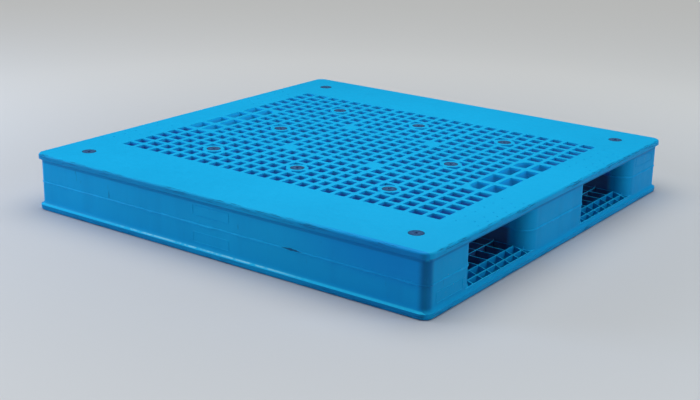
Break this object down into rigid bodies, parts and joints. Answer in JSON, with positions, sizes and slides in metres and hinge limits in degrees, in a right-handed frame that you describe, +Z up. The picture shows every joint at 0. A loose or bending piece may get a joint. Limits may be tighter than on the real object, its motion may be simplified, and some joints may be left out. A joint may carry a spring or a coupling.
{
  "type": "plastic pallet",
  "caption": "Reversible double-faced plastic pallet with two through fork tunnels, a square-hole deck, a rounded lip round each deck and flush round rubber grip plugs.",
  "frame": {"origin": "centre of the footprint, on the ground under the lower deck", "axes": "+Z up through both decks; +X along the fork tunnels; +Y across them, square to the plain long sides"},
  "size_m": [1.2, 1.2, 0.15],
  "materials": {
    "blue_plastic": "bright blue injection-moulded polyethylene, satin, with fine grain and light scuffs",
    "grip_rubber": "matte grey-blue rubber, lightly mottled"
  },
  "bodies": {
    "root": {"upper_moulding": "blue_plastic", "lower_moulding": "blue_plastic", "upper_grip_plug_01": "grip_rubber", "upper_grip_plug_02": "grip_rubber", "upper_grip_plug_03": "grip_rubber", "upper_grip_plug_04": "grip_rubber", "upper_grip_plug_05": "grip_rubber", "upper_grip_plug_06": "grip_rubber", "upper_grip_plug_07": "grip_rubber", "upper_grip_plug_08": "grip_rubber", "upper_grip_plug_09": "grip_rubber", "upper_grip_plug_10": "grip_rubber", "upper_grip_plug_11": "grip_rubber", "upper_grip_plug_12": "grip_rubber", "lower_grip_plug_01": "grip_rubber", "lower_grip_plug_02": "grip_rubber", "lower_grip_plug_03": "grip_rubber", "lower_grip_plug_04": "grip_rubber", "lower_grip_plug_05": "grip_rubber", "lower_grip_plug_06": "grip_rubber", "lower_grip_plug_07": "grip_rubber", "lower_grip_plug_08": "grip_rubber", "lower_grip_plug_09": "grip_rubber", "lower_grip_plug_10": "grip_rubber", "lower_grip_plug_11": "grip_rubber", "lower_grip_plug_12": "grip_rubber"}
  },
  "joints": []
}
